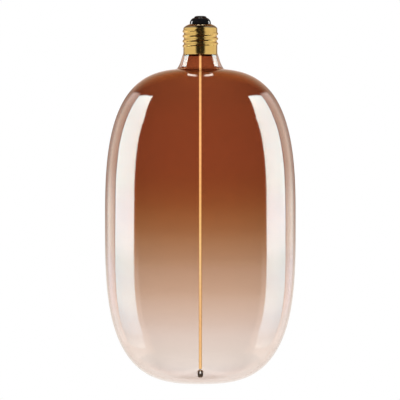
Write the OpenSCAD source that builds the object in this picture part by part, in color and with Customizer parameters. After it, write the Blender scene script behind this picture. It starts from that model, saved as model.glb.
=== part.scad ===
// Smart filament lamp: a tall rounded glass envelope hangs from an E27 screw cap. One long straight
// LED filament hangs on the axis inside it, and the dimmer and its radio are packed inside the cap.
// Origin: the centre of the cap's rim, where the brass meets the glass. +Z points to the lampholder.

/* [Glass] */
// Widest outside diameter of the envelope
glass_d = 140; // [110:1:170]
// Depth of the envelope below the cap's rim
glass_drop = 241.6; // [210:0.2:280]
// Share of the depth at which the envelope is widest
widest_share = 0.5; // [0.4:0.01:0.6]
// Wall thickness
glass_wall = 0.8; // [0.6:0.1:1.2]
// Squareness of the upper shoulders, across and down
shoulder_power = [3.3, 2.8]; // [2:0.1:4]
// Squareness of the lower shoulders, across and down
base_power = [2.95, 3.25]; // [2:0.1:4]

/* [Neck] */
// Outside diameter of the neck just below the rim
neck_d = 25.9; // [25.4:0.1:27]
// Height of the neck, from the rim to the top of the shoulders
neck_h = 10.25; // [8:0.05:14]
// Outside diameter of the glass tube inside the cap
seal_d = 23; // [22:0.1:23.4]

/* [Screw cap] */
// Crest diameter of the E27 thread
thread_d = 26.2; // [26.05:0.05:26.45]
// Pitch of the thread: seven turns to the inch
thread_pitch = 3.629; // [3.6:0.001:3.65]
// Outside diameter of the plain skirt
skirt_d = 25; // [24.8:0.1:25.2]
// Height from the rim to the centre contact
cap_h = 28.5; // [28:0.1:29.5]
// Thickness of the brass sheet
sheet = 0.3; // [0.25:0.05:0.35]
// Diameter of the contact's dome
contact_d = 7.8; // [7:0.1:9]

/* [Filament] */
// Width and thickness of the glowing coating
coating = [2.3, 1.5]; // [1:0.1:3]
// Number of LED chips along the strip
chip_count = 48; // [20:1:60]
// Height of the hooks' bearing line above the rim
hinge_up = 3.4; // [3:0.1:3.6]
// Diameter of the end bead
bead_d = 6.2; // [4:0.1:8]
// Gap between the bead and the glass below it
bead_gap = 3; // [2:0.5:8]

/* [Electronics] */
// Diameter of the round driver board
board_d = 22.2; // [22:0.1:22.4]
// Height of the driver board's underside above the rim
board_up = 10; // [9.8:0.1:10.2]
// Diameter and height of the reservoir capacitor
reservoir = [5.4, 7.2]; // [4:0.1:7.2]

/* [Hidden] */

fine = 96;
medium = 64;
$fn = 32;
fit = 0.03;

// Envelope outline: two superellipse halves that meet at the widest ring.
widest_z = -glass_drop * widest_share;
upper_h = -neck_h - widest_z;
lower_h = glass_drop + widest_z;
outline_steps = 26;
foot_r = 19.5;
foot_in_r = 19;

// Neck outline: a cone of slope neck_slope that flares as the fourth power of the depth.
neck_slope = 0.29;
neck_flare = 0.000116;
neck_steps = 10;

// The neck ends at the depth neck_cut, and a short fillet leads on to the shoulders, outside and inside.
neck_cut = 9.7;
fillet_out = [17.2, -10.55];
fillet_in = [16.9, -11.6];
fillet_in_from = 10.4;
fillet_steps = 5;

// Cap heights above the rim.
band_low = 4;
band_top = 19;
shoulder_top = 22.5;
lip_r = 7.9;
skirt_r = skirt_d / 2;
flare_r = 12.9;
flare_h = 1.2;

// Rolled thread: round crests and roots, fading out at both ends.
crest_out = thread_d / 2 - skirt_r;
thread_depth = 0.95;
thread_phase = 0.22;
thread_first = 4.9;
thread_last = 18.5;
thread_fade = 1.2;
shell_sides = 40;
band_rows = 42;
dome_rows = 7;
arc_r = (pow(thread_pitch / 4, 2) + pow(thread_depth / 2, 2)) / thread_depth;

// Insulator and contact heights.
insulator_foot = 20.2;
insulator_top = 27;
insulator_r = 9.6;
insulator_band = 7.75;
sleeve_top = 18.6;
sleeve_r = 11.6;
sleeve_t = 0.25;
rivet_r = 1.3;
rivet_bore = 0.9;
contact_flat_r = 2.2;

// Seal, hooks and filament.
seal_r = seal_d / 2;
seal_z = 5.5;
seal_disc = 1.2;
pinch = [7.6, 2.6, 0.9];
wire_r = 0.3;
hook_x = 2.3;
pin_end_x = 1;
eye_x = 1.4;
eye_t = 0.4;
eye_r = 0.75;
substrate = [1.2, 0.4];
strip_top = 2.2;
coating_top = 0.6;
bead_r = bead_d / 2;
bead_z = -glass_drop + glass_wall + bead_gap + bead_r;
strip_end = bead_z + 1.7;
ferrule_r = 0.8;
ferrule_top = bead_z + bead_r + 0.6;
chip = [0.7, 0.2, 1.5];
chip_first = coating_top - 3;
chip_pitch = (chip_first - ferrule_top - 4) / (chip_count - 1);
track = [0.4, 0.1];

// Board, with its parts placed by their centres on its upper face.
board_t = 0.8;
board_z = board_up + board_t;
reservoir_at = [-5.2, 4.8];
film_box = [5.6, 2.6, 6];
film_at = [4.2, 6.3];
choke_at = [6.2, -2.9];
choke_core_r = 1.1;
choke_flange = [2.5, 0.7];
choke_turns = 9;
choke_turn = 0.42;
resistor_at = [3.6, -7.4];
bridge_box = [4.6, 3.8, 1.5];
bridge_at = [-6.6, -2.2];
driver_box = [4.9, 3.9, 1.4];
driver_at = [-1.2, -6.8];
transistor_box = [2.9, 1.1, 1];
transistor_at = [-6, -7.1];
chip_part = [1.6, 0.8, 0.6];
chip_part_at = [[-3.1, -2.3], [-0.9, -2.4], [1.7, -3.2], [-8.5, 1], [-0.6, 5.2], [-0.8, 8.6]];

// Wires from the board to the contact and to the shell.
live_x = 1.4;
live_turn_z = 17;
neutral_at = [-9.9, -1.2];
neutral_turn_z = 19.4;
neutral_end_x = -11.3;

// Radio board, standing on its edge, and its wire ring.
radio_x = [-1.2, 9.3];
radio_y = 2.7;
radio_t = 0.6;
radio_h = 8;
radio_chip_box = [4, 0.75, 3.6];
shield = [6.4, 1.1, 5.2];
shield_skin = 0.15;
shield_x = 0.6;
shield_z = board_z + 1.6;
header_h = 1.2;
loop_r = 8.6;
loop_z = 8.2;
loop_gap = 40;
loop_wire = 0.3;
feed_r = 0.4;
feed_y = radio_y + radio_t + feed_r;
feed_a = asin(feed_y / loop_r);
exhaust_y = 4.5;
exhaust_r = 1.5;
exhaust_bore = 0.8;

brass = [0.85, 0.70, 0.36];
amber_glass = [0.62, 0.34, 0.2, 0.45];
pale_glass = [0.88, 0.9, 0.9, 0.5];
nickel = [0.75, 0.74, 0.7];
tin = [0.7, 0.7, 0.72];
copper = [0.75, 0.42, 0.22];
board_green = [0.1, 0.36, 0.2];
black = [0.07, 0.07, 0.08];

function backwards(line) = [for (i = [len(line) - 1 : -1 : 0]) line[i]];

function ramp(t) = let (c = max(0, min(1, t))) c * c * (3 - 2 * c);

function curve(a, b, c, steps) =
    [for (i = [0 : steps]) let (t = i / steps)
        (1 - t) * (1 - t) * a + 2 * t * (1 - t) * b + t * t * c];

// A point of one superellipse half: turn is 0 at the widest ring and 90 at the axis.
function half_point(turn, r, h, power) =
    [r * pow(cos(turn), 2 / power.x), widest_z + h * pow(sin(turn), 2 / power.y)];

function turn_at(at_r, r, power) = acos(pow(at_r / r, power.x / 2));

function upper_half(inset, from_r) =
    let (r = glass_d / 2 - inset, h = upper_h - inset)
    let (start = turn_at(from_r, r, shoulder_power))
    [for (i = [0 : outline_steps]) half_point(start * (1 - i / outline_steps), r, h, shoulder_power)];

function lower_half(inset) =
    let (r = glass_d / 2 - inset, h = lower_h - inset)
    [for (i = [1 : outline_steps - 1])
        let (p = half_point(90 * i / outline_steps, r, h, base_power)) [p.x, 2 * widest_z - p.y]];

function neck_r(depth) = neck_d / 2 + neck_slope * depth + neck_flare * pow(depth, 4);

function neck_line(inset, from, to) =
    [for (i = [0 : neck_steps])
        let (depth = from + (to - from) * i / neck_steps) [neck_r(depth) - inset, -depth]];

// Thread outline: height above the skirt's radius, u in turns from the nearest crest.
function knuckle(u) =
    let (d = abs(u) * thread_pitch)
    d < thread_pitch / 4
        ? crest_out - arc_r + sqrt(arc_r * arc_r - d * d)
        : crest_out - thread_depth + arc_r - sqrt(arc_r * arc_r - pow(thread_pitch / 2 - d, 2));

function present(crest_z) =
    ramp((crest_z - thread_first) / thread_fade) * ramp((thread_last - crest_z) / thread_fade);

// What the thread adds to the shell's radius at height z and angle a, for a right-hand thread.
function thread_lift(z, a) =
    let (u = z / thread_pitch - a / 360 - thread_phase)
    let (near = round(u), under = floor(u))
    let (near_z = (near + a / 360 + thread_phase) * thread_pitch)
    let (under_z = (under + a / 360 + thread_phase) * thread_pitch)
    let (k = knuckle(u - near))
    k * (k > 0 ? present(near_z) : min(present(under_z), present(under_z + thread_pitch)));

// The sheet's section from the lip to the insulator, without the thread: outer r and z, inner r and z.
function shell_rows() = concat(
    [[flare_r, 0, flare_r - sheet, 0],
     [skirt_r + 0.1, flare_h / 2, skirt_r + 0.1 - sheet, flare_h / 2],
     [skirt_r, flare_h, skirt_r - sheet, flare_h]],
    [for (i = [0 : band_rows]) let (z = band_low + (band_top - band_low) * i / band_rows)
        [skirt_r, z, skirt_r - sheet, z]],
    [for (i = [1 : dome_rows])
        let (t = i / dome_rows, drop = skirt_r - lip_r, rise = shoulder_top - band_top)
        [skirt_r - drop * t * t, band_top + rise * t,
         skirt_r - sheet - (drop - sheet) * t * t, band_top + (rise - sheet) * t]]);

function shell_skin(rows, side) =
    [for (row = rows, j = [0 : shell_sides - 1])
        let (a = 360 * j / shell_sides, r = row[2 * side] + thread_lift(row[1], a))
        [r * cos(a), r * sin(a), row[2 * side + 1]]];

module wire(points, r) {
    for (i = [0 : len(points) - 2]) {
        along = points[i + 1] - points[i];
        translate(points[i])
            rotate([0, acos(along.z / norm(along)), atan2(along.y, along.x)])
                cylinder(h = norm(along), r = r);
    }
    for (i = [1 : 1 : len(points) - 2]) {
        translate(points[i])
            sphere(r = r);
    }
}

// A box centred on [x, y] that stands on height z.
module block(x, y, z, size) {
    translate([x - size.x / 2, y - size.y / 2, z])
        cube(size);
}

// A moulded chip with flat legs along two sides.
module chip_package(x, y, z, size, legs, leg_pitch) {
    leg = [0.4, 0.9, 0.2];
    lift = 0.1;
    block(x, y, z + lift, size);
    for (side = [-1, 1], i = [0 : legs - 1]) {
        block(x + (i - (legs - 1) / 2) * leg_pitch, y + side * (size.y + leg.y) / 2, z, leg);
        block(x + (i - (legs - 1) / 2) * leg_pitch, y + side * (size.y + leg.z) / 2, z,
              [leg.x, leg.z, size.z / 2]);
    }
}

// Skirt with its flared lip, rolled thread and domed shoulder: one closed sheet with two skins.
module screw_shell() {
    rows = shell_rows();
    n = shell_sides;
    top = len(rows) - 1;
    inner = n * (top + 1);
    skins = [for (side = [0, 1], i = [0 : top - 1], j = [0 : n - 1])
        let (a = side * inner + i * n + j, b = side * inner + i * n + (j + 1) % n)
        each side == 0 ? [[a, a + n, b], [b, a + n, b + n]] : [[a, b, a + n], [b, b + n, a + n]]];
    rims = [for (row = [0, top], j = [0 : n - 1])
        let (a = row * n + j, b = row * n + (j + 1) % n)
        each row == 0
            ? [[a, b, inner + a], [b, inner + b, inner + a]]
            : [[a, inner + a, b], [b, inner + a, inner + b]]];
    color(brass)
        polyhedron(points = concat(shell_skin(rows, 0), shell_skin(rows, 1)),
                   faces = concat(skins, rims));
}

module cap_insulator() {
    color(black)
        difference() {
            rotate_extrude($fn = fine)
                polygon([[0, insulator_foot], [insulator_r, insulator_foot],
                         [insulator_r, insulator_foot + 0.5], [8.2, 21.7],
                         [insulator_band - 0.05, 22.1], [insulator_band, 23.4], [7.6, 23.7],
                         [5.5, 26.5], [5.1, 26.9], [4.6, insulator_top], [0, insulator_top]]);
            translate([0, 0, insulator_foot - 1])
                cylinder(h = insulator_top - insulator_foot + 2, r = rivet_r + fit);
        }
}

// Domed eyelet with a rivet tube down the insulator's bore.
module centre_contact() {
    edge_r = contact_d / 2;
    color(tin)
        rotate_extrude($fn = medium)
            polygon(concat(
                [[rivet_bore, insulator_top - 3], [rivet_r, insulator_top - 3], [rivet_r, insulator_top],
                 [edge_r - 0.2, insulator_top]],
                curve([edge_r, insulator_top + 0.4], [edge_r - 0.1, cap_h - 0.1],
                      [contact_flat_r, cap_h], 6),
                [[rivet_bore, cap_h]]));
}

module contact_solder() {
    color(tin)
        difference() {
            translate([0, 0, insulator_top])
                cylinder(h = cap_h - insulator_top, r = rivet_bore - 0.01);
            translate([0, 0, insulator_top - 1])
                cylinder(h = cap_h - insulator_top + 0.7, r = wire_r + 0.01);
        }
}

module live_wire() {
    color("firebrick")
        wire([[live_x, 0, board_z], [live_x, 0, live_turn_z], [0, 0, live_turn_z],
              [0, 0, cap_h - 0.3]], wire_r);
}

module neutral_route(r) {
    wire([[neutral_at.x, neutral_at.y, board_z], [neutral_at.x, neutral_at.y, neutral_turn_z],
          [neutral_end_x, neutral_at.y, neutral_turn_z]], r);
}

module neutral_wire() {
    color("navy")
        neutral_route(wire_r);
}

// Blob that joins the neutral wire to the inside of the shell's shoulder.
module shell_solder() {
    color(tin)
        difference() {
            translate([neutral_end_x, neutral_at.y, neutral_turn_z])
                sphere(r = 0.7);
            neutral_route(wire_r + 0.01);
        }
}

module ring(low, high, outer_r, inner_r) {
    rotate_extrude($fn = fine)
        polygon([[inner_r, low], [outer_r, low], [outer_r, high], [inner_r, high]]);
}

module cap_cement() {
    color("gainsboro")
        ring(flare_h, band_low, skirt_r - sheet - 2 * fit, seal_r + fit);
}

module insulating_sleeve() {
    color([0.9, 0.8, 0.5])
        ring(seal_z + seal_disc, sleeve_top, sleeve_r, sleeve_r - sleeve_t);
}

module glass(outside, inside) {
    color(amber_glass)
        rotate_extrude($fn = fine)
            polygon(concat(outside, backwards(inside)));
}

// Upper end of the blown glass: the tube inside the cap and the flaring neck below it.
module glass_neck() {
    tube = [[seal_r, seal_z], [seal_r, 0.7], [seal_r + 0.5, 0.15]];
    bore = [[seal_r - glass_wall, seal_z], [seal_r - glass_wall, 0.2]];
    glass(concat(tube, neck_line(0, 0.25, neck_cut)), concat(bore, neck_line(glass_wall, 1, neck_cut)));
}

// The rest of the same piece of glass, from the fillet down.
module glass_envelope() {
    fillet = curve([neck_r(neck_cut), -neck_cut], fillet_out, upper_half(0, foot_r)[0], fillet_steps);
    start_in = [neck_r(fillet_in_from) - glass_wall, -fillet_in_from];
    hollow = curve(start_in, fillet_in, upper_half(glass_wall, foot_in_r)[0], fillet_steps);
    glass(concat([for (i = [0 : fillet_steps - 1]) fillet[i]],
                 upper_half(0, foot_r), lower_half(0), [[0, -glass_drop]]),
          concat([[neck_r(neck_cut) - glass_wall, -neck_cut]],
                 [for (i = [0 : fillet_steps - 1]) hollow[i]],
                 upper_half(glass_wall, foot_in_r), lower_half(glass_wall),
                 [[0, glass_wall - glass_drop]]));
}

// Disc fused to the end of the neck, with a pressed foot that grips both support wires.
module stem_seal() {
    color(pale_glass)
        difference() {
            union() {
                ring(seal_z, seal_z + seal_disc, seal_r, 0);
                block(0, 0, seal_z - pinch.z, pinch);
            }
            for (side = [-1, 1]) {
                translate([side * hook_x, 0, seal_z - pinch.z - 1])
                    cylinder(h = pinch.z + seal_disc + 2, r = wire_r + 0.01);
            }
            translate([0, exhaust_y, seal_z - 1])
                cylinder(h = seal_disc + 2, r = exhaust_bore);
        }
}

// Pumping tube, melted shut at its tip.
module exhaust_tube() {
    low = seal_z + seal_disc;
    color(pale_glass)
        translate([0, exhaust_y, low])
            rotate_extrude()
                polygon([[exhaust_bore, 0], [exhaust_r, 0], [exhaust_r, 1.5], [1.1, 2.2], [0.4, 2.7],
                         [0, 2.8], [0, 1.9], [exhaust_bore, 1.4]]);
}

// Runs up through the seal and the board; its inward foot is the filament's bearing pin.
module support_wire(side) {
    color(nickel)
        wire([[side * hook_x, 0, board_z + 0.5], [side * hook_x, 0, hinge_up],
              [side * pin_end_x, 0, hinge_up]], wire_r);
}

module left_support_wire() {
    support_wire(-1);
}

module right_support_wire() {
    support_wire(1);
}

// Eye plate that hangs on a hook, with a foot brazed to the side of the strip.
module terminal(side) {
    foot_z = 1.2;
    tab = [eye_t, 1, hinge_up - foot_z];
    color(nickel)
        difference() {
            union() {
                translate([side * eye_x - eye_t / 2, 0, hinge_up])
                    rotate([0, 90, 0])
                        cylinder(h = eye_t, r = eye_r);
                block(side * eye_x, 0, foot_z, tab);
                block(side * (substrate.x / 2 + eye_x + eye_t / 2) / 2, 0, foot_z,
                      [eye_x + eye_t / 2 - substrate.x / 2, 0.7, 0.5]);
            }
            translate([side * eye_x - eye_t, 0, hinge_up])
                rotate([0, 90, 0])
                    cylinder(h = 2 * eye_t, r = wire_r + fit);
        }
}

module left_terminal() {
    terminal(-1);
}

module right_terminal() {
    terminal(1);
}

module filament_substrate() {
    color("white")
        block(0, 0, strip_end, [substrate.x, substrate.y, strip_top - strip_end]);
}

module led_chips() {
    color([0.35, 0.6, 0.95])
        for (i = [0 : chip_count - 1]) {
            block(0, -(substrate.y + chip.y) / 2, chip_first - chip.z - i * chip_pitch, chip);
        }
}

// Copper foil on the strip's back that brings the current up again.
module return_track() {
    color(copper)
        block(0, (substrate.y + track.y) / 2, strip_end, [track.x, track.y, strip_top - strip_end]);
}

// Phosphor silicone moulded around the strip: an oblong section with round edges.
module filament_coating() {
    color([1, 0.74, 0.46])
        difference() {
            translate([0, 0, ferrule_top])
                linear_extrude(coating_top - ferrule_top)
                    union() {
                        square([coating.x - coating.y, coating.y], center = true);
                        for (side = [-1, 1]) {
                            translate([side * (coating.x - coating.y) / 2, 0])
                                circle(d = coating.y);
                        }
                    }
            filament_substrate();
            led_chips();
            return_track();
        }
}

module tail_ferrule() {
    color(nickel)
        difference() {
            translate([0, 0, strip_end - 0.3])
                cylinder(h = ferrule_top - strip_end + 0.3, r = ferrule_r);
            filament_substrate();
            return_track();
        }
}

// Ball that draws the strip straight; the ferrule is pressed into its top.
module end_bead() {
    color("silver")
        difference() {
            translate([0, 0, bead_z])
                sphere(r = bead_r, $fn = fine);
            translate([0, 0, strip_end - 0.3])
                cylinder(h = bead_r, r = ferrule_r + 0.01);
        }
}

module driver_board() {
    color(board_green)
        difference() {
            translate([0, 0, board_up])
                cylinder(h = board_t, d = board_d, $fn = fine);
            for (side = [-1, 1]) {
                translate([side * hook_x, 0, board_up - 1])
                    cylinder(h = board_t + 2, r = wire_r + 0.05);
            }
            translate([loop_r * cos(feed_a), feed_y, board_up - 1])
                cylinder(h = board_t + 2, r = feed_r + 0.05);
        }
}

// Sleeved can with a pinched groove and a dished top.
module reservoir_capacitor() {
    r = reservoir[0] / 2;
    h = reservoir[1];
    color([0.16, 0.2, 0.3])
        translate([reservoir_at.x, reservoir_at.y, board_z])
            rotate_extrude($fn = medium)
                polygon([[0, 0], [r, 0], [r, 0.9], [r - 0.25, 1.2], [r, 1.5], [r, h - 0.2],
                         [r - 0.2, h], [r - 0.7, h], [r - 0.9, h - 0.2], [0, h - 0.2]]);
}

module film_capacitor() {
    color([0.75, 0.15, 0.12])
        block(film_at.x, film_at.y, board_z, film_box);
}

// Ferrite drum of the choke, stood on end.
module choke_core() {
    wound = choke_flange[1] + choke_turns * choke_turn + 2 * fit;
    color([0.25, 0.25, 0.27])
        translate([choke_at.x, choke_at.y, board_z])
            rotate_extrude($fn = medium)
                polygon([[0, 0], [choke_flange[0], 0], choke_flange, [choke_core_r, choke_flange[1]],
                         [choke_core_r, wound], [choke_flange[0], wound],
                         [choke_flange[0], wound + choke_flange[1]], [0, wound + choke_flange[1]]]);
}

// Turns of enamelled wire between the drum's flanges.
module choke_winding() {
    packed = [0.9, choke_turns * choke_turn - 0.06];
    color(copper)
        translate([choke_at.x, choke_at.y, board_z + choke_flange[1] + fit])
            rotate_extrude($fn = medium)
                union() {
                    translate([choke_core_r + fit, 0])
                        square(packed);
                    for (i = [0 : choke_turns - 1]) {
                        translate([choke_core_r + packed.x, (i + 0.5) * choke_turn - 0.03])
                            circle(d = choke_turn);
                    }
                }
}

// Upright resistor with swollen ends and its top lead bent over.
module fusible_resistor() {
    color([0.45, 0.62, 0.5])
        translate([resistor_at.x, resistor_at.y, board_z]) {
            rotate_extrude()
                polygon([[0, 0.3], [0.9, 0.3], [1.2, 0.7], [1.2, 1.6], [1, 2], [1, 4.6], [1.2, 5],
                         [1.2, 5.9], [0.9, 6.3], [0, 6.3]]);
            wire([[0, 0, 6.2], [0, 0, 6.9], [1.7, 0, 6.9], [1.7, 0, 0]], 0.25);
        }
}

module bridge_rectifier() {
    color(black)
        chip_package(bridge_at.x, bridge_at.y, board_z, bridge_box, 2, 2.5);
}

module driver_chip() {
    color(black)
        chip_package(driver_at.x, driver_at.y, board_z, driver_box, 4, 1.27);
}

module dimmer_transistor() {
    color(black)
        chip_package(transistor_at.x, transistor_at.y, board_z, transistor_box, 2, 1.9);
}

// Chip resistors and capacitors on the driver board.
module small_components() {
    color([0.55, 0.45, 0.3])
        for (at = chip_part_at) {
            block(at.x, at.y, board_z, chip_part);
        }
}

module radio_board() {
    color([0.06, 0.2, 0.36])
        translate([radio_x[0], radio_y, board_z])
            cube([radio_x[1] - radio_x[0], radio_t, radio_h]);
}

module radio_chip() {
    color(black)
        translate([shield_x + (shield.x - radio_chip_box.x) / 2, radio_y - radio_chip_box.y,
                   shield_z + (shield.z - radio_chip_box.z) / 2])
            cube(radio_chip_box);
}

// Pressed tin lid over the radio chip, open towards its board.
module radio_shield() {
    color(tin)
        translate([shield_x, radio_y - shield.y, shield_z])
            difference() {
                cube(shield);
                translate([shield_skin, shield_skin, shield_skin])
                    cube([shield.x - 2 * shield_skin, shield.y, shield.z - 2 * shield_skin]);
            }
}

module board_header() {
    color(black)
        translate([shield_x, radio_y - 1, board_z])
            cube([shield.x, 1, header_h]);
}

// Wire ring beside the glass, where the open end of the cap lets the signal out.
module antenna_loop() {
    color(copper) {
        rotate([0, 0, feed_a])
            rotate_extrude(angle = 360 - loop_gap, $fn = fine)
                translate([loop_r, loop_z])
                    circle(r = loop_wire);
        translate([loop_r * cos(feed_a), feed_y, loop_z - feed_r])
            cylinder(h = board_z + 2.6 - loop_z, r = feed_r);
    }
}

screw_shell();
cap_insulator();
centre_contact();
contact_solder();
live_wire();
neutral_wire();
shell_solder();
cap_cement();
insulating_sleeve();
glass_neck();
glass_envelope();
stem_seal();
exhaust_tube();
left_support_wire();
right_support_wire();
left_terminal();
right_terminal();
filament_substrate();
led_chips();
return_track();
filament_coating();
tail_ferrule();
end_bead();
driver_board();
reservoir_capacitor();
film_capacitor();
choke_core();
choke_winding();
fusible_resistor();
bridge_rectifier();
driver_chip();
dimmer_transistor();
small_components();
radio_board();
radio_chip();
radio_shield();
board_header();
antenna_loop();
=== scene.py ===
"""Smart filament lamp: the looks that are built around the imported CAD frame.

Lengths are in millimetres inside the builders and are turned into metres when a mesh is made.
The origin is the centre of the cap's rim, +Z points to the lampholder and -Y to the viewer.
"""

import math

import bpy  # noqa: E402
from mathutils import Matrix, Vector  # noqa: E402


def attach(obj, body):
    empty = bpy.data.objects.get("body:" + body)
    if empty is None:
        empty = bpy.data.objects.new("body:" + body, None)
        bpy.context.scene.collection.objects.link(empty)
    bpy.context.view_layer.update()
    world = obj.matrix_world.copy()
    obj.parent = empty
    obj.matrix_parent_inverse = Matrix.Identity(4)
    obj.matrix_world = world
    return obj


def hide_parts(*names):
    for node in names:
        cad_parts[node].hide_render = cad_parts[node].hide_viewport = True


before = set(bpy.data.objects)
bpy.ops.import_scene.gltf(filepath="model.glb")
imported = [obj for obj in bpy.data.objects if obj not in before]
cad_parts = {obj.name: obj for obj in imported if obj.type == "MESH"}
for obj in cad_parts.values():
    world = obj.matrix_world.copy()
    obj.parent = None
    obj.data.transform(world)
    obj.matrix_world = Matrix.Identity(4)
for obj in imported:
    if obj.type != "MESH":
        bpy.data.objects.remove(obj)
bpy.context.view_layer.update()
MM = 0.001

# ---------------------------------------------------------------- sizes, as in the CAD part
GLASS_R = 70.0
GLASS_DROP = 241.6
WALL = 0.8
WIDEST_Z = -120.8
NECK_H = 10.25
NECK_R = 12.95
NECK_SLOPE = 0.29
NECK_FLARE = 0.000116
NECK_CUT = 9.7
SHOULDER_POWER = (3.3, 2.8)
BASE_POWER = (2.95, 3.25)
TUBE_R = 11.5
TUBE_TOP = 5.5

PITCH = 3.629
SKIRT_R = 12.5
CREST_OUT = 0.6
THREAD_DEPTH = 0.95
THREAD_PHASE = 0.22
THREAD_FIRST = 4.9
THREAD_LAST = 18.5
THREAD_FADE = 1.2
SHEET = 0.3
BAND_FROM = 1.2
BAND_TOP = 19.0
SHOULDER_TOP = 22.5
LIP_R = 7.9

WIRE_HOLE_R = 1.33
INSULATOR_FOOT = 20.2
INSULATOR_TOP = 27.0
RIVET_BORE = 0.9
RIVET_R = 1.3
CAP_TOP = 28.5

COAT = (2.3, 1.5)
COAT_TOP = 0.6
COAT_LOW = -231.0
COAT_ROUND = 0.6
SWELL = 0.03
CHIPS = 48
CHIP_FIRST = -2.4
CHIP_LENGTH = 1.5
CHIP_MARGIN = 4.0
CHIP_PITCH = (CHIP_FIRST - COAT_LOW - CHIP_MARGIN) / (CHIPS - 1)
BEAD_R = 3.1
BEAD_Z = -234.7
SOCKET_R = 0.82
SOCKET_FLOOR = -233.2
FERRULE_R = 0.8
COLLAR_R = 0.9
STRIP_END = -233.0


# ---------------------------------------------------------------- mesh helpers
def mesh_object(name, verts, faces, smooth_angle=35.0):
    """A mesh object from points in millimetres, smooth except where faces meet at a sharp angle."""
    mesh = bpy.data.meshes.new(name)
    mesh.from_pydata([(x * MM, y * MM, z * MM) for x, y, z in verts], [], faces)
    mesh.update()
    mesh.polygons.foreach_set("use_smooth", [True] * len(mesh.polygons))
    mesh.set_sharp_from_angle(angle=math.radians(smooth_angle))
    obj = bpy.data.objects.new(name, mesh)
    bpy.context.scene.collection.objects.link(obj)
    return obj


def lathe(name, profile, segments=96, smooth_angle=35.0, ring=False, lift=None):
    """Turns a profile of (r, z) about Z. The profile runs from bottom to top on the outside.

    ring closes the profile on itself; otherwise its ends lie on the axis. lift(z, angle) adds to r.
    """
    verts, faces, rows = [], [], []
    for r, z in profile:
        if r < 1e-6:
            rows.append([len(verts)])
            verts.append((0.0, 0.0, z))
            continue
        rows.append(list(range(len(verts), len(verts) + segments)))
        for j in range(segments):
            a = 2 * math.pi * j / segments
            radius = r + (lift(z, a) if lift else 0.0)
            verts.append((radius * math.cos(a), radius * math.sin(a), z))
    pairs = list(zip(rows, rows[1:]))
    if ring:
        pairs.append((rows[-1], rows[0]))
    for low, high in pairs:
        for j in range(segments):
            k = (j + 1) % segments
            if len(low) == 1 and len(high) > 1:
                faces.append((low[0], high[k], high[j]))
            elif len(high) == 1 and len(low) > 1:
                faces.append((low[j], low[k], high[0]))
            elif len(low) > 1:
                faces.append((low[j], low[k], high[k], high[j]))
    return mesh_object(name, verts, faces, smooth_angle)


def resample(points, step):
    """The same line with points about step apart, first and last kept."""
    lengths = [0.0]
    for (r0, z0), (r1, z1) in zip(points, points[1:]):
        lengths.append(lengths[-1] + math.hypot(r1 - r0, z1 - z0))
    count = max(2, round(lengths[-1] / step))
    out, i = [], 0
    for n in range(count + 1):
        target = lengths[-1] * n / count
        while i < len(lengths) - 2 and lengths[i + 1] < target:
            i += 1
        span = lengths[i + 1] - lengths[i]
        t = (target - lengths[i]) / span if span else 0.0
        out.append(tuple(a + (b - a) * t for a, b in zip(points[i], points[i + 1])))
    return out


def smoothstep(t):
    """Eases t from 0 to 1, flat at both ends."""
    t = min(1.0, max(0.0, t))
    return t * t * (3 - 2 * t)


# ---------------------------------------------------------------- node helpers
class Nodes:
    """Short calls for building one node tree."""

    def __init__(self, tree):
        self.tree = tree

    def add(self, kind, inputs=None, **settings):
        node = self.tree.nodes.new(kind)
        for key, value in settings.items():
            setattr(node, key, value)
        for key, value in (inputs or {}).items():
            self.feed(node.inputs[key], value)
        return node

    def feed(self, socket, value):
        if isinstance(value, bpy.types.NodeSocket):
            self.tree.links.new(value, socket)
        else:
            socket.default_value = value

    def math(self, operation, *values):
        node = self.add("ShaderNodeMath", operation=operation)
        for socket, value in zip(node.inputs, values):
            self.feed(socket, value)
        return node.outputs[0]

    def product(self, *factors):
        """All the factors multiplied together."""
        total = factors[0]
        for factor in factors[1:]:
            total = self.math("MULTIPLY", total, factor)
        return total

    def step(self, value, low, high, out_low=0.0, out_high=1.0):
        """A smooth step of value from out_low at low to out_high at high."""
        node = self.add("ShaderNodeMapRange", interpolation_type="SMOOTHSTEP")
        for socket, number in zip(node.inputs, (value, low, high, out_low, out_high)):
            self.feed(socket, number)
        return node.outputs[0]

    def ramp(self, value, stops, interpolation="LINEAR"):
        """A colour against value, from stops of (place, colour)."""
        node = self.add("ShaderNodeValToRGB", {"Fac": value})
        node.color_ramp.interpolation = interpolation
        points = node.color_ramp.elements
        while len(points) < len(stops):
            points.new(0.5)
        for point, (place, colour) in zip(points, stops):
            point.position = place
            point.color = (*colour, 1.0)
        return node.outputs[0]

    def mix(self, fac, a, b):
        node = self.add("ShaderNodeMix", data_type="RGBA")
        self.feed(node.inputs[0], fac)
        self.feed(node.inputs[6], a if isinstance(a, bpy.types.NodeSocket) else (*a, 1.0))
        self.feed(node.inputs[7], b if isinstance(b, bpy.types.NodeSocket) else (*b, 1.0))
        return node.outputs[2]

    def noise(self, vector, scale, detail=3.0):
        inputs = {"Vector": vector, "Scale": scale, "Detail": detail}
        return self.add("ShaderNodeTexNoise", inputs).outputs[0]

    def bump(self, shader, height, strength, distance):
        """Bends the shader's normal by a height of noise or stripes."""
        inputs = {"Height": height, "Strength": strength, "Distance": distance}
        self.feed(shader.inputs["Normal"], self.add("ShaderNodeBump", inputs).outputs[0])

    def place(self):
        """The point in object space, which is the shared frame in metres."""
        return self.add("ShaderNodeTexCoord").outputs["Object"]

    def axes(self, vector):
        """The three parts of a vector or colour."""
        node = self.add("ShaderNodeSeparateXYZ", {0: vector})
        return node.outputs[0], node.outputs[1], node.outputs[2]


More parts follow.
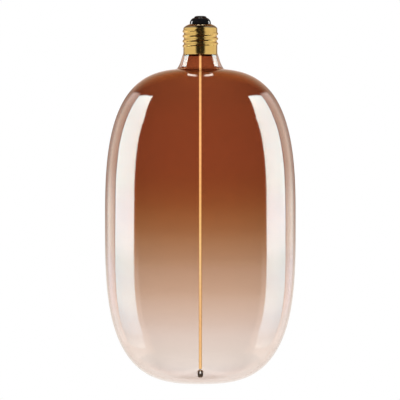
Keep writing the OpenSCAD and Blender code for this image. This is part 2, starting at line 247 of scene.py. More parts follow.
def material(name, **settings):
    """A new material, its Nodes and its Principled shader."""
    mat = bpy.data.materials.new(name)
    mat.use_nodes = True
    shader = mat.node_tree.nodes["Principled BSDF"]
    for key, value in settings.items():
        shader.inputs[key.replace("_", " ").title().replace("Ior", "IOR")].default_value = value
    return mat, Nodes(mat.node_tree), shader


def dress(obj, mat):
    """Gives the object this one material in every slot."""
    if not obj.material_slots:
        obj.data.materials.append(mat)
    for slot in obj.material_slots:
        slot.material = mat


def piece(obj, body, slot, mat, *replaced):
    """Finishes a new piece: its body, its material and the CAD nodes it stands for. The slot argument is
    not used.
    """
    dress(obj, mat)
    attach(obj, body)
    if replaced:
        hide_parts(*replaced)
    return obj


# ---------------------------------------------------------------- materials
# About what one wall lets through in red, green and blue where the tint's density is 1.
GLASS_TOP_TINT = (0.52, 0.23, 0.124)
# The density's factor where the wall is met head-on, and what it gains towards grazing angles.
HEAD_ON = 0.98
SLANT = (0.55, 0.22, 0.12)
# Density of the tint in red, green and blue against height, from the bottom of the glass to its top.
TINT_STOPS = (
    (0.0, (0.0, 0.02, 0.02)),
    (0.05, (0.025, 0.06, 0.065)),
    (0.09, (0.09, 0.10, 0.10)),
    (0.17, (0.16, 0.165, 0.158)),
    (0.267, (0.30, 0.285, 0.285)),
    (0.364, (0.49, 0.43, 0.43)),
    (0.45, (0.69, 0.61, 0.635)),
    (0.53, (0.86, 0.80, 0.84)),
    (0.607, (0.98, 0.95, 0.955)),
    (0.68, (1.03, 0.99, 0.965)),
    (0.85, (1.03, 0.99, 0.965)),
    (0.90, (0.93, 0.95, 0.94)),
    (0.94, (0.79, 0.86, 0.89)),
    (1.0, (1.03, 1.02, 0.99)),
)


def tinted_glass():
    """Clear glass whose copper-brown tint fades out downwards. Each wall multiplies what passes it."""
    mat, n, shader = material("copper_glass", roughness=0.0, ior=1.45, transmission_weight=1.0)
    _, _, z = n.axes(n.place())
    height = n.add("ShaderNodeMapRange")
    for socket, number in zip(height.inputs, (z, -GLASS_DROP * MM, 0.0, 0.0, 1.0)):
        n.feed(socket, number)
    density = n.axes(n.ramp(height.outputs[0], TINT_STOPS, "CARDINAL"))
    facing = n.add("ShaderNodeLayerWeight", {"Blend": 0.5}).outputs["Facing"]
    channels = []
    for tint, dense, more in zip(GLASS_TOP_TINT, density, SLANT):
        slant = n.math("MULTIPLY_ADD", facing, more, HEAD_ON)
        channels.append(n.math("POWER", tint, n.math("MULTIPLY", dense, slant)))
    colour = n.add("ShaderNodeCombineColor", dict(zip((0, 1, 2), channels)))
    n.feed(shader.inputs["Base Color"], colour.outputs[0])
    return mat


def clear_glass():
    """Seal glass: faintly grey, with drawn streaks in its tone."""
    mat, n, shader = material("clear_glass", roughness=0.02, ior=1.5, transmission_weight=1.0)
    streak = n.noise(n.place(), 900.0)
    n.feed(shader.inputs["Base Color"], n.mix(streak, (0.80, 0.82, 0.80), (0.95, 0.96, 0.95)))
    return mat


# The heights between which the painted shade on the shell's dome sets in, in metres.
DOME_SHADE_HEIGHTS = (0.0194, 0.0204)


def brass():
    """Rolled brass: a spun grain round the cap, faint tarnish, and painted shade on the dome, a darker
    olive colour that stands in for the dark room it mirrors.
    """
    mat, n, shader = material("brass", metallic=1.0)
    place = n.place()
    x, y, z = n.axes(place)
    cloud = n.noise(place, 260.0, 4.0)
    bright = n.mix(cloud, (0.80, 0.50, 0.14), (0.90, 0.60, 0.20))
    # Painted shade: a darker olive copy of the brass for the dome, in place of the dark room that the
    # dome mirrors.
    shaded_brass = n.mix(cloud, (0.20, 0.15, 0.08), (0.32, 0.25, 0.14))
    painted_dome_shade = n.step(n.math("MULTIPLY_ADD", cloud, 0.0006, z), *DOME_SHADE_HEIGHTS)
    n.feed(shader.inputs["Base Color"], n.mix(painted_dome_shade, bright, shaded_brass))
    stretched = [n.math("MULTIPLY", part, factor) for part, factor in ((x, 0.1), (y, 0.1), (z, 6.0))]
    around = n.add("ShaderNodeCombineXYZ", dict(enumerate(stretched))).outputs[0]
    grain = n.noise(around, 900.0, 2.0)
    n.feed(shader.inputs["Roughness"], n.math("MULTIPLY_ADD", grain, 0.10, 0.15))
    n.bump(shader, grain, 0.05, 0.0002)
    return mat


def speckled(name, dark, light, scale=600.0, rough=(0.4, 0.55), metallic=0.0, bump=0.0, **more):
    """A general finish: colour and roughness wander on a fine noise, with an optional fine bump."""
    mat, n, shader = material(name, metallic=metallic, **more)
    noise = n.noise(n.place(), scale, 4.0)
    n.feed(shader.inputs["Base Color"], n.mix(noise, dark, light))
    n.feed(shader.inputs["Roughness"], n.math("MULTIPLY_ADD", noise, rough[1] - rough[0], rough[0]))
    if bump:
        n.bump(shader, noise, bump, 0.0002)
    return mat


def striped(name, dark, light, pitch, rough, metallic=0.0):
    """A finish with fine level stripes, such as turns of wire or the bands of a resistor."""
    mat, n, shader = material(name, roughness=rough, metallic=metallic)
    place = n.place()
    _, _, z = n.axes(place)
    wave = n.math("SINE", n.math("MULTIPLY", z, 2 * math.pi / (pitch * MM)))
    cloud = n.math("MULTIPLY", n.noise(place, 500.0), 0.4)
    blend = n.math("ADD", n.math("MULTIPLY_ADD", wave, 0.3, 0.3), cloud)
    n.feed(shader.inputs["Base Color"], n.mix(blend, dark, light))
    return mat


def printed_board(name, mask, trace):
    """Solder mask over copper: lighter where the tracks run under it."""
    mat, n, shader = material(name, roughness=0.35)
    place = n.place()
    x, y, _ = n.axes(place)
    rows = n.math("PINGPONG", n.math("MULTIPLY", n.math("ADD", x, y), 700.0), 1.0)
    cloud = n.noise(place, 350.0)
    track = n.step(n.math("ADD", rows, cloud), 0.9, 1.0)
    n.feed(shader.inputs["Base Color"], n.mix(track, mask, trace))
    n.bump(shader, track, 0.2, 0.0001)
    return mat


# Light of the coating at its top and its bottom, in the core and at the edges. It is stronger at the
# top, where the glass in front of it is darker. The core lies a little to the left, in metres, so the
# right edge glows less: painted shade, as if the strip were lit from the left.
GLOW_TOP = (2.05, 2.35, 1.6)
GLOW_LOW = (0.78, 0.53, 0.25)
GLOW_TOP_EDGE = (0.35, 0.12, 0.02)
GLOW_LOW_EDGE = (0.30, 0.15, 0.03)
CORE_SHIFT_FOR_SHADE = 0.00009


def phosphor():
    """Glowing silicone: a bright core over the chips and deeper amber towards the edges, with painted
    shade on the right edge, where the core is shifted left.
    """
    mat, n, shader = material("phosphor", roughness=0.45)
    place = n.place()
    x, _, z = n.axes(place)
    height = n.step(z, -0.215, -0.05)
    core = n.mix(height, GLOW_LOW, GLOW_TOP)
    edge = n.mix(height, GLOW_LOW_EDGE, GLOW_TOP_EDGE)
    # Painted shade: the core is moved left, so the right edge takes the dimmer edge glow as if it were
    # shaded.
    across = n.math("ABSOLUTE", n.math("ADD", x, CORE_SHIFT_FOR_SHADE))
    rim = n.step(across, 0.00055, 0.00105)
    n.feed(shader.inputs["Emission Color"], n.mix(rim, core, edge))
    from_chip = n.math("SUBTRACT", z, (CHIP_FIRST - CHIP_LENGTH / 2) * MM)
    beat = n.math("COSINE", n.math("MULTIPLY", from_chip, 2 * math.pi / (CHIP_PITCH * MM)))
    cloud = n.noise(place, 1500.0)
    n.feed(shader.inputs["Emission Strength"], n.math("MULTIPLY_ADD", beat, 0.04, 0.96))
    n.feed(shader.inputs["Base Color"], n.mix(cloud, (0.28, 0.14, 0.03), (0.36, 0.20, 0.05)))
    return mat


def chrome():
    """Bright chrome, with a faint cloud in its tone and polish."""
    mat, n, shader = material("chrome", metallic=1.0)
    cloud = n.noise(n.place(), 700.0)
    n.feed(shader.inputs["Base Color"], n.mix(cloud, (0.78, 0.78, 0.79), (0.86, 0.86, 0.87)))
    n.feed(shader.inputs["Roughness"], n.math("MULTIPLY_ADD", cloud, 0.02, 0.01))
    return mat


def black_gloss(name, light, rough):
    """Glossy black with a faint ripple. Its sheen dies out at grazing angles, as under fine dust."""
    mat, n, shader = material(name)
    cloud = n.noise(n.place(), 300.0)
    n.feed(shader.inputs["Base Color"], n.mix(cloud, (0.004, 0.004, 0.005), light))
    n.feed(shader.inputs["Roughness"], n.math("MULTIPLY_ADD", cloud, 0.06, rough))
    facing = n.add("ShaderNodeLayerWeight", {"Blend": 0.5}).outputs["Facing"]
    n.feed(shader.inputs["Specular IOR Level"], n.step(facing, 0.52, 0.75, 0.7, 0.0))
    return mat


# ---------------------------------------------------------------- the glass
# The radius where the fillet at the foot of the neck meets the shoulder, outside and inside, and the
# point that each fillet is drawn towards.
SHOULDER_FROM = (19.5, 19.0)
FILLET_CORNER = ((17.2, -10.55), (16.9, -11.6))


def outline(inset):
    """The envelope's outline from the neck's fillet to the bottom, inset by the wall for the inside."""
    r = GLASS_R - inset
    upper = -NECK_H - WIDEST_Z - inset
    lower = GLASS_DROP + WIDEST_Z - inset

    def half(turn, h, power):
        return r * math.cos(turn) ** (2 / power[0]), h * math.sin(turn) ** (2 / power[1])

    steps = 900
    start = math.acos((SHOULDER_FROM[inset > 0] / r) ** (SHOULDER_POWER[0] / 2))
    top = [half(start * (1 - i / steps), upper, SHOULDER_POWER) for i in range(steps + 1)]
    low = [half(math.pi / 2 * i / steps, lower, BASE_POWER) for i in range(1, steps)]
    line = [(a, WIDEST_Z + b) for a, b in top] + [(a, WIDEST_Z - b) for a, b in low]
    return line + [(0.0, WIDEST_Z - lower)]


def bezier(a, b, c, steps):
    """A curve from a to c that is drawn towards b."""
    out = []
    for i in range(steps + 1):
        t = i / steps
        out.append(tuple((1 - t) ** 2 * p + 2 * t * (1 - t) * q + t * t * r for p, q, r in zip(a, b, c)))
    return out


def neck(inset, start, end, steps=40):
    """The neck's flare between two depths below the cap's rim."""
    out = []
    for i in range(steps + 1):
        d = start + (end - start) * i / steps
        out.append((NECK_R + NECK_SLOPE * d + NECK_FLARE * d ** 4 - inset, -d))
    return out


def wall_line(inset):
    """One side of the glass from the tube inside the cap to the bottom."""
    body = outline(inset)
    if inset == 0:
        tube = [(TUBE_R, TUBE_TOP), (TUBE_R, 0.7), (TUBE_R + 0.5, 0.15)]
        line = neck(0, 0.25, NECK_CUT)
    else:
        tube = [(TUBE_R - inset, TUBE_TOP), (TUBE_R - inset, 0.2)]
        line = neck(inset, 1.0, 10.4)
    fillet = bezier(line[-1], FILLET_CORNER[inset > 0], body[0], 30)
    top = resample(tube, 0.7)[:-1] + resample(tube[-1:] + line + fillet[1:], 0.45)[:-1]
    return top + resample(body, 1.5)


def build_glass():
    """Blown envelope and neck as one closed double wall."""
    outside = wall_line(0.0)
    inside = wall_line(WALL)
    glass = lathe("glass_bulb", outside[::-1] + inside, segments=144, smooth_angle=50.0)
    return piece(glass, "lamp", "copper_tinted_glass", tinted_glass(), "glass_neck", "glass_envelope")


# ---------------------------------------------------------------- the cap
def thread_lift(z, a):
    """What the rolled thread adds to the shell's radius at height z and angle a.

    The section is two arcs a turn, one over the crest and one in the root. It fades out at both ends.
    """
    turn = a / (2 * math.pi) + THREAD_PHASE
    u = z / PITCH - turn
    near, under = math.floor(u + 0.5), math.floor(u)
    arc = ((PITCH / 4) ** 2 + (THREAD_DEPTH / 2) ** 2) / THREAD_DEPTH
    d = abs(u - near) * PITCH
    if d < PITCH / 4:
        k = CREST_OUT - arc + math.sqrt(arc * arc - d * d)
    else:
        k = CREST_OUT - THREAD_DEPTH + arc - math.sqrt(arc * arc - (PITCH / 2 - d) ** 2)

    def present(crest):
        z0 = (crest + turn) * PITCH
        begun = smoothstep((z0 - THREAD_FIRST) / THREAD_FADE)
        left = smoothstep((THREAD_LAST - z0) / THREAD_FADE)
        return begun * left

    return k * (present(near) if k > 0 else min(present(under), present(under + 1)))


def build_shell():
    """Brass cap: flared lip, plain skirt, rolled thread, domed shoulder and a rolled-in rim."""
    lip = [(12.92, 0.0), (12.86, 0.22), (12.7, 0.5), (12.56, 0.85), (SKIRT_R, BAND_FROM)]
    band = [(SKIRT_R, BAND_FROM + (BAND_TOP - BAND_FROM) * i / 120) for i in range(1, 121)]
    drop, rise = SKIRT_R - LIP_R, SHOULDER_TOP - BAND_TOP
    dome = [(SKIRT_R - drop * (i / 24) ** 2, BAND_TOP + rise * i / 24) for i in range(1, 25)]
    rim = [(LIP_R - 0.12, SHOULDER_TOP + 0.02), (LIP_R - 0.2, SHOULDER_TOP - 0.1)]
    dome_in = [
        (SKIRT_R - SHEET - (drop - SHEET) * (i / 24) ** 2, BAND_TOP + (rise - SHEET) * i / 24)
        for i in range(24, 0, -1)
    ]
    band_in = [(r - SHEET, z) for r, z in reversed(band)]
    lip_in = [(r - SHEET, z) for r, z in reversed(lip)]
    line = lip + band + dome + rim + dome_in + band_in + lip_in
    shell = lathe("brass_shell", line, segments=160, smooth_angle=60.0, ring=True, lift=thread_lift)
    return piece(shell, "lamp", "brass", brass(), "screw_shell")


def build_insulator():
    """Black insulator: low foot under the brass, a short band, then a dome up to the contact."""
    foot = [(WIRE_HOLE_R, INSULATOR_FOOT), (9.6, INSULATOR_FOOT), (9.6, 20.7), (8.2, 21.7)]
    band = [(7.72, 22.1), (7.75, 23.1)]
    edge = (5.55, 26.8)
    dome = bezier(band[-1], (7.6, 25.6), edge, 14)[1:]
    top = bezier(edge, (5.2, INSULATOR_TOP), (4.7, INSULATOR_TOP), 4)[1:]
    line = foot + band + dome + top + [(WIRE_HOLE_R, INSULATOR_TOP)]
    body = lathe("insulator", line, segments=128, smooth_angle=40.0, ring=True)
    mat = black_gloss("black_insulator", (0.012, 0.012, 0.013), 0.05)
    return piece(body, "lamp", "black_insulator", mat, "cap_insulator")


def build_contact():
    """Domed eyelet with its rivet tube, closed in the middle by the solder."""
    tube = [(RIVET_BORE, 24.0), (RIVET_R, 24.0), (RIVET_R, INSULATOR_TOP)]
    edge = [(4.3, INSULATOR_TOP), (4.55, 27.06), (4.65, 27.2)]
    dome = bezier(edge[-1], (4.2, CAP_TOP), (1.9, CAP_TOP), 14)[1:]
    line = tube + edge + dome + [(RIVET_R, CAP_TOP), (1.0, 28.46), (RIVET_BORE, 28.4)]
    body = lathe("contact_eyelet", line, segments=96, smooth_angle=40.0, ring=True)
    # Painted reflection: the tinned eyelet gets a near-black colour in place of the dark room its metal
    # would mirror.
    mat = black_gloss("eyelet_painted_dark", (0.02, 0.02, 0.023), 0.2)
    return piece(body, "lamp", "tinned_contact", mat, "centre_contact")


# ---------------------------------------------------------------- the filament
def build_coating():
    """Moulded silicone strip with rounded ends. Its oblong section swells a little over each chip."""
    sides, rows = 32, 480
    flat, r = (COAT[0] - COAT[1]) / 2, COAT[1] / 2
    verts, faces = [], []
    for i in range(rows + 1):
        z = COAT_LOW + (COAT_TOP - COAT_LOW) * i / rows
        end = min(z - COAT_LOW, COAT_TOP - z)
        close = math.sqrt(max(0.0, 1 - max(0.0, 1 - end / COAT_ROUND) ** 2)) * 0.3 + 0.7
        from_chip = z - CHIP_FIRST + CHIP_LENGTH / 2
        swell = SWELL * math.cos(2 * math.pi * from_chip / CHIP_PITCH) - SWELL
        for j in range(sides):
            a = 2 * math.pi * j / sides
            side = 1 if math.cos(a) > 0 else -1
            x = (side * flat + (r + swell * 0.5) * math.cos(a)) * close
            y = (r + swell) * math.sin(a) * close
            verts.append((x, y, z))
    for i in range(rows):
        for j in range(sides):
            k = (j + 1) % sides
            row, above = i * sides, (i + 1) * sides
            faces.append((row + j, row + k, above + k, above + j))
    faces.append(tuple(reversed(range(sides))))
    faces.append(tuple(rows * sides + j for j in range(sides)))
    strip = mesh_object("filament_strip", verts, faces, 50.0)
    return piece(strip, "filament", "phosphor", phosphor(), "filament_coating")


def build_bead():
    """Chrome ball with a round socket in its top, where the ferrule enters it."""
    hole = math.asin(SOCKET_R / BEAD_R)
    arc = [(0.0, BEAD_Z - BEAD_R)]
    for i in range(1, 65):
        a = (math.pi - hole) * i / 64
        arc.append((BEAD_R * math.sin(a), BEAD_Z - BEAD_R * math.cos(a)))
    socket = [(SOCKET_R, SOCKET_FLOOR), (0.0, SOCKET_FLOOR)]
    ball = lathe("end_ball", arc + socket, segments=96, smooth_angle=50.0)
    return piece(ball, "filament", "chromed_bead", chrome(), "end_bead")


def build_ferrule():
    """Drawn tube between the strip and the ball, with a rolled collar."""
    low, top = STRIP_END - 0.3, BEAD_Z + BEAD_R + 0.6
    side = [(0.0, low), (FERRULE_R, low), (FERRULE_R, top - 0.35)]
    collar = [(COLLAR_R, top - 0.25), (COLLAR_R, top - 0.1), (FERRULE_R, top), (0.62, top), (0.0, top)]
    tube = lathe("ferrule", side + collar, segments=48, smooth_angle=30.0)
    return piece(tube, "filament", "nickel_wire", MATERIALS["nickel"], "tail_ferrule")


# ---------------------------------------------------------------- finishes of the carried-over nodes
MATERIALS = {
    "solder": speckled("solder", (0.45, 0.45, 0.46), (0.68, 0.68, 0.70), 900.0, (0.25, 0.45), 1.0, 0.15),
    "red": speckled("red_insulation", (0.42, 0.03, 0.02), (0.58, 0.06, 0.04), 800.0, (0.3, 0.4)),
    "blue": speckled("blue_insulation", (0.02, 0.05, 0.30), (0.04, 0.09, 0.42), 800.0, (0.3, 0.4)),
    "cement": speckled("cement", (0.55, 0.52, 0.46), (0.80, 0.77, 0.70), 1400.0, (0.8, 0.95), bump=0.5),
    "film": speckled("film", (0.55, 0.42, 0.16), (0.68, 0.54, 0.24), 200.0, (0.25, 0.35)),
    "clear_glass": clear_glass(),
    "nickel": speckled("nickel", (0.55, 0.54, 0.51), (0.72, 0.71, 0.68), 1500.0, (0.18, 0.3), 1.0, 0.08),
    "green_board": printed_board("green_board", (0.01, 0.10, 0.04), (0.03, 0.22, 0.09)),
    "blue_board": printed_board("blue_board", (0.01, 0.03, 0.12), (0.02, 0.08, 0.24)),
    "sleeve": speckled("shrink_sleeve", (0.01, 0.014, 0.03), (0.02, 0.028, 0.055), 400.0, (0.3, 0.4)),
    "red_dip": speckled("red_dip", (0.32, 0.02, 0.01), (0.50, 0.05, 0.03), 350.0, (0.15, 0.25), bump=0.2),
    "ferrite": speckled(
        "ferrite", (0.015, 0.015, 0.017), (0.05, 0.05, 0.052), 2200.0, (0.6, 0.75), bump=0.3,
    ),
    "enamel": striped("enamelled_copper", (0.30, 0.10, 0.03), (0.72, 0.32, 0.12), 0.42, 0.3, 1.0),
    "copper": speckled("copper", (0.55, 0.22, 0.10), (0.78, 0.38, 0.20), 900.0, (0.25, 0.35), 1.0),
    "resistor": striped("resistor_lacquer", (0.10, 0.20, 0.13), (0.25, 0.38, 0.28), 1.9, 0.3),
    "package": speckled(
        "chip_package", (0.006, 0.006, 0.007), (0.018, 0.018, 0.019), 3000.0, (0.5, 0.65), bump=0.2,
    ),
    "chips": speckled("chip_parts", (0.18, 0.12, 0.06), (0.42, 0.31, 0.17), 700.0, (0.4, 0.5)),
    "tin": speckled("tin_plate", (0.50, 0.50, 0.52), (0.66, 0.66, 0.68), 700.0, (0.25, 0.4), 1.0, 0.1),
    "white": speckled("white_ceramic", (0.72, 0.72, 0.70), (0.86, 0.86, 0.83), 1600.0, (0.4, 0.5)),
    "die": speckled(
        "led_die", (0.10, 0.25, 0.60), (0.16, 0.36, 0.75), 2500.0, (0.1, 0.2), coat_weight=0.6,
    ),
}

FINISHES = {
    "solder": ("contact_solder", "shell_solder"),
    "red": ("live_wire",),
    "blue": ("neutral_wire",),
    "cement": ("cap_cement",),
    "film": ("insulating_sleeve",),
    "clear_glass": ("stem_seal", "exhaust_tube"),
    "nickel": ("left_support_wire", "right_support_wire", "left_terminal", "right_terminal"),
    "green_board": ("driver_board",),
    "blue_board": ("radio_board",),
    "sleeve": ("reservoir_capacitor",),
    "red_dip": ("film_capacitor",),
    "ferrite": ("choke_core",),
    "enamel": ("choke_winding",),
    "copper": ("return_track", "antenna_loop"),
    "resistor": ("fusible_resistor",),
    "package": ("bridge_rectifier", "driver_chip", "dimmer_transistor", "radio_chip", "board_header"),
    "chips": ("small_components",),
    "tin": ("radio_shield",),
    "white": ("filament_substrate",),
    "die": ("led_chips",),
}


def dress_cad_nodes():
    """Gives the CAD nodes that are shown as they are their finishes."""
    for finish, nodes in FINISHES.items():
        for node in nodes:
            dress(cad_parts[node], MATERIALS[finish])


# ---------------------------------------------------------------- studio
# Lengths in metres from here on.
CENTRE_Z = -0.1067
VIEW_DISTANCE = 3.0
FRAME_WIDTH = 0.2938
AXIS_SHIFT = 0.00026
MAIN_AT = 2.5
REAR_AT = 2.6
FLOOR_Z = -0.7
FLOOR_R = 4.0

# Light of the mirrored room: its dark sides, the haze straight behind, what the sides of the glass
# mirror at a grazing angle, the lamp that the foot of the neck mirrors, and the light low behind.
DARK_ROOM = (0.015, 0.015, 0.015)
WARM_HAZE = (0.12, 0.06, 0.03)
BESIDE = (0.28, 0.16, 0.10)
NECK_LAMP = (6.2, 6.0, 5.4)
LOW_LIGHT = (0.92, 0.86, 0.81)

# The backdrop as it is mirrored, against the sine of the height it is seen at.
BACKDROP = (
    (0.0, (0.78, 0.64, 0.56)),
    (0.14, (0.78, 0.62, 0.54)),
    (0.28, (0.66, 0.48, 0.37)),
    (0.42, (0.56, 0.40, 0.25)),
    (0.57, (0.58, 0.27, 0.12)),
    (0.70, (0.50, 0.18, 0.04)),
    (0.82, (0.30, 0.10, 0.02)),
    (0.92, (0.02, 0.01, 0.01)),
)


def reflected_only(n, lit, unlit):
    """A shader that is lit for rays that have been mirrored at least once, and unlit for the others."""
    bounced = n.math("GREATER_THAN", n.add("ShaderNodeLightPath").outputs["Glossy Depth"], 0.5)
    mix = n.add("ShaderNodeMixShader", {0: bounced})
    n.feed(mix.inputs[1], unlit)
    n.feed(mix.inputs[2], lit)
    return mix.outputs[0]


def backdrop(n, x, y, z):
    """The mirrored room: dark at the sides, and a coloured backdrop for rays that go mostly back."""
    haze = n.product(n.step(y, 0.80, 0.97), n.step(z, 0.25, 0.55, 1.0, 0.0))
    room = n.mix(haze, DARK_ROOM, WARM_HAZE)
    sideways = n.math("ABSOLUTE", x)
    aside = n.math("DIVIDE", sideways, n.math("MAXIMUM", y, 0.01))
    tilt = n.math("DIVIDE", z, n.math("MAXIMUM", sideways, 0.01))
    beside = n.product(n.step(aside, 0.15, 0.38, 1.0, 0.0), n.step(tilt, 0.7, 1.3, 1.0, 0.0))
    behind = n.mix(beside, n.ramp(z, BACKDROP), BESIDE)
    return n.mix(n.step(aside, 0.30, 0.95, 1.0, 0.0), room, behind)


def neck_lamp(n, x, y, z):
    """Where the crescents at the foot of the neck come from, seen in the outer surface only.

    A ray along +Y that is mirrored into (x, y, z) has met a surface whose normal rises by z over
    the root of 2 (1 - y) and turns sideways by |x| over 1 - y. The lamp is a band of rise and turn,
    bent a little.
    """
    root = n.math("SQRT", n.math("MAXIMUM", n.math("MULTIPLY_ADD", y, -2.0, 2.0), 0.001))
    back = n.math("MAXIMUM", n.math("SUBTRACT", 1.0, y), 0.01)
    turn = n.math("DIVIDE", n.math("ABSOLUTE", x), back)
    rise = n.math("MULTIPLY_ADD", n.product(turn, turn), -0.4, n.math("DIVIDE", z, root))
    band = n.product(n.step(rise, 0.85, 0.875), n.step(rise, 0.925, 0.945, 1.0, 0.0))
    ends = (n.step(turn, 0.04, 0.12), n.step(turn, 0.24, 0.28, 1.0, 0.0))
    depth = n.add("ShaderNodeLightPath").outputs["Transmission Depth"]
    return n.product(band, *ends, n.math("LESS_THAN", depth, 0.5))


def low_light(n, y, z):
    """Pale light behind the lamp, from the horizon to about 45 degrees below it."""
    above, below = n.step(z, -0.035, 0.01, 1.0, 0.0), n.step(z, -0.80, -0.60)
    return n.product(above, n.step(y, -0.1, 0.35), below)


def build_world():
    """White all round; what the lamp mirrors is a dark room, light low down and warm behind and above."""
    world = bpy.data.worlds.new("studio")
    world.use_nodes = True
    world.cycles.sampling_method = "NONE"
    bpy.context.scene.world = world
    world.node_tree.nodes.clear()
    n = Nodes(world.node_tree)
    x, y, z = n.axes(n.add("ShaderNodeTexCoord").outputs["Generated"])
    room = n.mix(neck_lamp(n, x, y, z), backdrop(n, x, y, z), NECK_LAMP)
    room = n.mix(low_light(n, y, z), room, LOW_LIGHT)
    dark = n.add("ShaderNodeBackground", {"Color": room, "Strength": 1.0}).outputs[0]
    white = n.add("ShaderNodeBackground", {"Color": (1, 1, 1, 1), "Strength": 1.0}).outputs[0]
    out = n.add("ShaderNodeOutputWorld")
    n.feed(out.inputs[0], reflected_only(n, dark, white))


def link_to(source, receivers):
    """Lets a lamp or a panel light the receivers only."""
    group = bpy.data.collections.new(source.name)
    for receiver in receivers:
        group.objects.link(receiver)
    source.light_linking.receiver_collection = group


def edge_point(edge, t):
    """The point at t, from 0 to 1, along an edge whose points are evenly spread over t."""
    place = t * (len(edge) - 1)
    i = min(int(place), len(edge) - 2)
    return [a + (b - a) * (place - i) for a, b in zip(edge[i], edge[i + 1])]


def panel_object(name, inner, outer, distance):
    """A sheet on each side of the lamp, with s across it and t up it as its UV map."""
    across, up = 12, 40
    verts, faces, uvs = [], [], []
    for side in (-1, 1):
        base = len(verts)
        for i in range(up + 1):
            a, b = edge_point(inner, i / up), edge_point(outer, i / up)
            for j in range(across + 1):
                s = j / across
                u, v = [p + (q - p) * s for p, q in zip(a, b)]
                verts.append((side * distance, u * distance, CENTRE_Z + v * distance))
                uvs.append((s, i / up))
        for i in range(up):
            for j in range(across):
                k = base + i * (across + 1) + j
                faces.append((k, k + 1, k + across + 2, k + across + 1))
    mesh = bpy.data.meshes.new(name)
    mesh.from_pydata(verts, [], faces)
    layer = mesh.uv_layers.new(name="UVMap")
    for loop in mesh.loops:
        layer.data[loop.index].uv = uvs[loop.vertex_index]
    obj = bpy.data.objects.new(name, mesh)
    bpy.context.scene.collection.objects.link(obj)
    return obj


def panel_material(name, radiance):
    """Gives off light to mirrored rays. Rays from beyond the front wall see an even card instead."""
    mat = bpy.data.materials.new(name)
    mat.use_nodes = True
    mat.cycles.emission_sampling = "NONE"
    mat.node_tree.nodes.clear()
    n = Nodes(mat.node_tree)
    s, t, _ = n.axes(n.add("ShaderNodeTexCoord").outputs["UV"])
    colour, light, cover = radiance(n, s, t)
    depth = n.add("ShaderNodeLightPath").outputs["Transmission Depth"]
    beyond = n.math("GREATER_THAN", depth, 2.5)
    colour = n.mix(beyond, colour, (1, 1, 1))
    strength = n.add("ShaderNodeMix", {0: beyond, 2: light, 3: CARD}).outputs[0]
    emit = n.add("ShaderNodeEmission", {"Color": colour, "Strength": strength}).outputs[0]
    clear = n.add("ShaderNodeBsdfTransparent").outputs[0]
    soft = n.add("ShaderNodeMixShader", {0: cover})
    n.feed(soft.inputs[1], clear)
    n.feed(soft.inputs[2], emit)
    out = n.add("ShaderNodeOutputMaterial")
    n.feed(out.inputs[0], reflected_only(n, soft.outputs[0], clear))
    return mat


def panel(name, inner, outer, radiance, receivers, distance):
    """A softbox on both sides, seen only in reflections.

    inner and outer are its edges from bottom to top, as (y, z) over the distance to the side.
    radiance(n, s, t) gives its colour, strength and cover at s across, 0 at the inner edge, and t up.
    """
    obj = panel_object(name, inner, outer, distance)
    dress(obj, panel_material(name, radiance))
    obj.visible_shadow = False
    link_to(obj, receivers)


# The main panel's colour against its height: cool, and weaker in its lower half.
MAIN_COLOURS = (
    (0.10, (0.10, 0.11, 0.11)),
    (0.22, (0.06, 0.08, 0.09)),
    (0.334, (0.11, 0.19, 0.24)),
    (0.40, (0.21, 0.33, 0.39)),
    (0.4375, (0.235, 0.37, 0.45)),
    (0.463, (0.30, 0.46, 0.53)),
    (0.495, (0.55, 0.71, 0.82)),
    (0.53, (0.62, 0.84, 0.87)),
)


def main_light(n, s, t):
    """Strong at the inner edge, where glass mirrors least, and weaker low down.

    It is dim for a ray that has come as far as from the lamp's centre, which the glass has mirrored
    at a grazing angle, so that the outline of the glass doesn't burn out.
    """
    skirt = n.product(n.step(s, 0.0, 0.08), n.step(t, 0.44, 0.50, 0.10, 0.0))
    inner = n.math("MAXIMUM", n.step(s, 0.15, 0.21), skirt)
    ends = n.product(n.step(t, 0.09, 0.12), n.step(t, 1.0, 0.97))
    cover = n.product(inner, n.step(s, 1.0, 0.94), ends)
    points = {0: n.add("ShaderNodeNewGeometry").outputs["Position"], 1: (0.0, 0.0, CENTRE_Z)}
    from_centre = n.add("ShaderNodeVectorMath", points, operation="DISTANCE").outputs["Value"]
    come = n.add("ShaderNodeLightPath").outputs["Ray Length"]
    full = n.step(n.math("SUBTRACT", from_centre, come), 0.0, 0.018, 0.04, 1.0)
    return n.ramp(t, MAIN_COLOURS), n.product(n.step(s, 0.15, 1.0, 17.0, 9.4), full), cover


# The rear panel's light against its height.
REAR_COLOURS = (
    (0.14, (1.15, 1.1, 1.05)),
    (0.28, (1.15, 1.25, 1.3)),
    (0.36, (1.5, 1.5, 1.65)),
    (0.45, (1.75, 1.9, 2.15)),
    (0.50, (2.45, 2.6, 2.5)),
    (0.56, (1.9, 1.85, 1.6)),
    (0.78, (1.8, 1.75, 1.5)),
    (0.92, (2.0, 1.95, 1.85)),
)


def rear_light(n, s, t):
    """A dimmer panel behind the main one, fading towards its far edge."""
    sides = n.product(n.step(s, 0.0, 0.02), n.step(s, 0.18, 0.66, 1.0, 0.0))
    cover = n.product(sides, n.step(t, 0.0, 0.15), n.step(t, 1.0, 0.95))
    return n.ramp(t, REAR_COLOURS), 1.0, cover


# Light of both panels for rays from beyond the front wall, and the edges of the two panels.
CARD = 1.2
MAIN_INNER = ((0.24, -1.07), (-0.17, -0.60), (-0.235, 0.0), (-0.205, 0.57), (0.10, 1.127))
MAIN_OUTER = ((0.97, -0.756), (0.92, -0.38), (0.70, 0.0), (0.70, 0.45), (0.84, 0.863))
REAR_INNER = ((0.97, -0.72), (0.90, -0.36), (0.68, 0.0), (0.68, 0.45), (0.84, 0.95))
REAR_OUTER = ((3.3, -0.75), (3.3, -0.38), (3.3, 0.0), (3.3, 0.45), (3.4, 0.853))


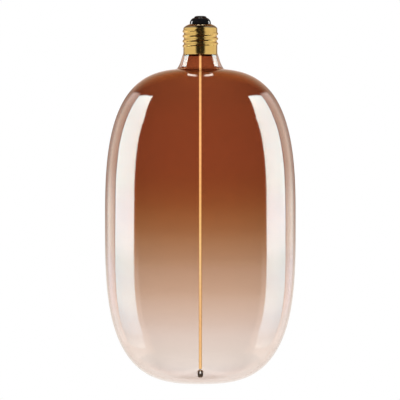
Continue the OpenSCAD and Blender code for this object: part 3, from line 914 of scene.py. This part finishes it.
def build_floor():
    """Pale round floor well below the lamp. Mirrored rays pass it, and it's clear from below."""
    rings, sides = 10, 96
    profile = [(FLOOR_R / MM * i / rings, FLOOR_Z / MM) for i in range(rings + 1)]
    floor = lathe("floor", profile, segments=sides)
    mat = bpy.data.materials.new("pale_floor")
    mat.use_nodes = True
    mat.node_tree.nodes.clear()
    n = Nodes(mat.node_tree)
    tone = n.mix(n.noise(n.place(), 3.0), (0.93, 0.93, 0.925), (0.95, 0.95, 0.945))
    pale = n.add("ShaderNodeBsdfDiffuse", {"Color": tone}).outputs[0]
    clear = n.add("ShaderNodeBsdfTransparent").outputs[0]
    # The floor's faces look down, so it is seen from above where they face away.
    above = n.add("ShaderNodeNewGeometry").outputs["Backfacing"]
    shown = n.add("ShaderNodeMixShader", {0: above})
    n.feed(shown.inputs[1], clear)
    n.feed(shown.inputs[2], pale)
    out = n.add("ShaderNodeOutputMaterial")
    n.feed(out.inputs[0], reflected_only(n, clear, shown.outputs[0]))
    dress(floor, mat)


def linked_light(name, receivers, azimuth, elevation, distance, size, radiance, target):
    """A softbox that lights only the receivers. Its radiance is the same all over."""
    lamp = bpy.data.lights.new(name, "AREA")
    lamp.shape = "RECTANGLE"
    lamp.size, lamp.size_y = size
    lamp.energy = radiance * math.pi * size[0] * size[1]
    obj = bpy.data.objects.new(name, lamp)
    a, e = math.radians(azimuth), math.radians(elevation)
    back = Vector((math.sin(a) * math.cos(e), -math.cos(a) * math.cos(e), math.sin(e)))
    obj.location = Vector(target) + back * distance
    obj.rotation_euler = back.to_track_quat("Z", "Y").to_euler()
    obj.visible_camera = False
    bpy.context.scene.collection.objects.link(obj)
    link_to(obj, receivers)


def build_camera():
    """Long lens, level with the middle of the lamp and a hair left of its axis."""
    data = bpy.data.cameras.new("camera")
    data.sensor_width = 36.0
    data.lens = data.sensor_width * VIEW_DISTANCE / FRAME_WIDTH
    data.clip_end = 40.0
    cam = bpy.data.objects.new("camera", data)
    cam.location = (-AXIS_SHIFT, -VIEW_DISTANCE, CENTRE_Z)
    cam.rotation_euler = (math.pi / 2, 0.0, 0.0)
    bpy.context.scene.collection.objects.link(cam)
    bpy.context.scene.camera = cam


def build_lights(shell, insulator, ball, ferrule):
    """Softboxes for the opaque pieces, each of which lights one piece only."""
    for side, word in ((-1, "left"), (1, "right")):
        linked_light("cap_light_" + word, [shell], azimuth=side * 85.0, elevation=0.0, distance=0.8,
                     size=(2.2, 5.0), radiance=0.8, target=(0, 0, 0.011))
        linked_light("top_light_" + word, [insulator], azimuth=side * 113.0, elevation=4.0, distance=1.0,
                     size=(0.36, 0.75), radiance=7.0, target=(0, 0, 0.024))
    linked_light("bead_light", [ball], azimuth=0.0, elevation=40.0, distance=0.02,
                 size=(0.013, 0.026), radiance=1.0, target=(0, 0, BEAD_Z * MM))
    linked_light("ferrule_light", [ferrule], azimuth=0.0, elevation=12.0, distance=0.02,
                 size=(0.012, 0.012), radiance=3.0, target=(0, 0, STRIP_END * MM))


def build_studio(glass, shell, insulator, ball, ferrule):
    """Backdrop, floor, panels, lights and camera, and how light is traced through the glass."""
    build_world()
    build_floor()
    panel("main_panel", MAIN_INNER, MAIN_OUTER, main_light, (glass, ball), MAIN_AT)
    panel("rear_panel", REAR_INNER, REAR_OUTER, rear_light, (glass, ball), REAR_AT)
    build_lights(shell, insulator, ball, ferrule)
    shell.visible_glossy = False
    build_camera()
    scene = bpy.context.scene
    scene.view_settings.view_transform = "Standard"
    scene.cycles.max_bounces = 20
    scene.cycles.transmission_bounces = 16
    scene.cycles.glossy_bounces = 6
    scene.cycles.blur_glossy = 0.0
    scene.cycles.use_denoising = True


bulb = build_glass()
brass_shell = build_shell()
top_insulator = build_insulator()
build_contact()
build_coating()
end_ball = build_bead()
end_tube = build_ferrule()
dress_cad_nodes()
build_studio(bulb, brass_shell, top_insulator, end_ball, end_tube)

bpy.context.view_layer.update()
